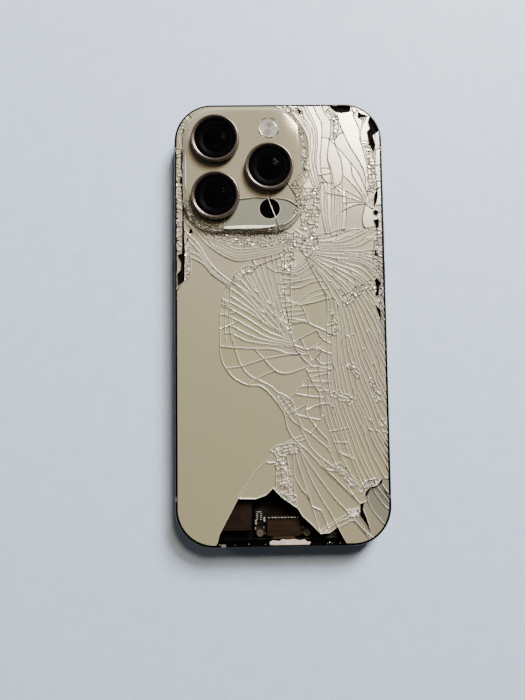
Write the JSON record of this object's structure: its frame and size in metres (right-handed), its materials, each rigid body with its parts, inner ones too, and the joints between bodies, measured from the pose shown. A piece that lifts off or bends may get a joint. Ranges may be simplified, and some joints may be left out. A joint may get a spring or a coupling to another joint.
{
  "type": "smartphone with a shattered back glass",
  "caption": "Smartphone lying screen down, its glossy rear glass shattered, cracked across and torn open along the bottom edge, with a raised camera plateau.",
  "frame": {"origin": "under the middle of the front glass, on the surface that the phone rests on", "axes": "+Z out of the rear glass, +Y towards the phone's top edge, +X to the right as the rear is seen"},
  "size_m": [0.0724, 0.1496, 0.0125],
  "materials": {
    "front_glass": "polished black-backed glass, whole",
    "display": "dark panel, switched off",
    "black_plastic": "moulded, matt",
    "graphite_sheet": "grey graphite sheet",
    "flex_circuit": "amber polyimide",
    "band": "dark coated metal, satin, worn on its edges",
    "antenna_plastic": "grey plastic fill",
    "chassis": "milled, matt",
    "dark_screw": "dark coated",
    "inner_screw": "bright",
    "battery_wrap": "black foil",
    "circuit_board": "solder mask",
    "shield_can": "bright tin plate",
    "camera_body": "black, matt",
    "haptic_case": "brown plated steel",
    "speaker_case": "black, moulded",
    "port_metal": "bronze plated",
    "bracket_bronze": "bronze plated",
    "black_flex": "black flexible circuit",
    "button": "dark coated metal, satin",
    "switch_plastic": "moulded",
    "card_plastic": "bare plastic card with contacts",
    "lens_glass": "coated lens",
    "led_ceramic": "yellow phosphor",
    "copper": "enamelled copper wire",
    "magnet": "nickel plated",
    "black_film": "black adhesive film",
    "torn_adhesive": "torn pale pink adhesive",
    "rear_glass": "glossy grey-beige glass, colour coated on its inner side, shattered",
    "lens_ring": "taupe coated metal with a polished lip",
    "lens_cover": "black-looking coated cover glass",
    "flash_glass": "clear ribbed lens",
    "sensor_glass": "black window with a bright crack"
  },
  "bodies": {
    "phone": {"front_glass": "front_glass", "display_panel": "display", "display_bezel": "black_plastic", "display_heat_sheet": "graphite_sheet", "display_flex": "flex_circuit", "outer_band": "band", "antenna_breaks": "antenna_plastic", "chassis_plate": "chassis", "bottom_screws": "dark_screw", "inner_screws": "inner_screw", "battery": "battery_wrap", "battery_flex": "flex_circuit", "logic_board": "circuit_board", "board_shields": "shield_can", "earpiece": "black_plastic", "front_camera": "camera_body", "haptic_motor": "haptic_case", "loudspeaker": "speaker_case", "port_shell": "port_metal", "port_tongue": "black_plastic", "port_bracket": "bracket_bronze", "port_flex": "black_flex", "button_switches": "switch_plastic", "sim_reader": "shield_can", "camera_module_upper": "camera_body", "camera_module_lower": "camera_body", "camera_module_right": "camera_body", "camera_lenses": "lens_glass", "camera_bracket": "shield_can", "flash_led": "led_ceramic", "range_sensor": "camera_body", "coil_shield": "graphite_sheet", "charging_coil": "copper", "magnet_ring": "magnet", "backing_film": "black_film", "torn_adhesive_strip": "torn_adhesive", "rear_glass": "rear_glass", "lens_ring_upper": "lens_ring", "lens_ring_lower": "lens_ring", "lens_ring_right": "lens_ring", "lens_cover_upper": "lens_cover", "lens_cover_lower": "lens_cover", "lens_cover_right": "lens_cover", "flash_lens": "flash_glass", "range_sensor_window": "sensor_glass"},
    "power_button": {"power_button": "button"},
    "volume_up_button": {"volume_up_button": "button"},
    "volume_down_button": {"volume_down_button": "button"},
    "action_button": {"action_button": "button"},
    "sim_tray": {"sim_tray": "button", "sim_card": "card_plastic"}
  },
  "joints": [
    {"name": "power_press", "type": "slide", "parent": "phone", "child": "power_button", "axis": [1, 0, 0], "range_m": [0, 0.0003], "stiffness_N_per_m": 5000},
    {"name": "volume_up_press", "type": "slide", "parent": "phone", "child": "volume_up_button", "axis": [-1, 0, 0], "range_m": [0, 0.0003], "stiffness_N_per_m": 5000},
    {"name": "volume_down_press", "type": "slide", "parent": "phone", "child": "volume_down_button", "axis": [-1, 0, 0], "range_m": [0, 0.0003], "stiffness_N_per_m": 5000},
    {"name": "action_press", "type": "slide", "parent": "phone", "child": "action_button", "axis": [-1, 0, 0], "range_m": [0, 0.0003], "stiffness_N_per_m": 5000},
    {"name": "card_tray_slide", "type": "slide", "parent": "phone", "child": "sim_tray", "axis": [1, 0, 0], "range_m": [0, 0.016]}
  ]
}
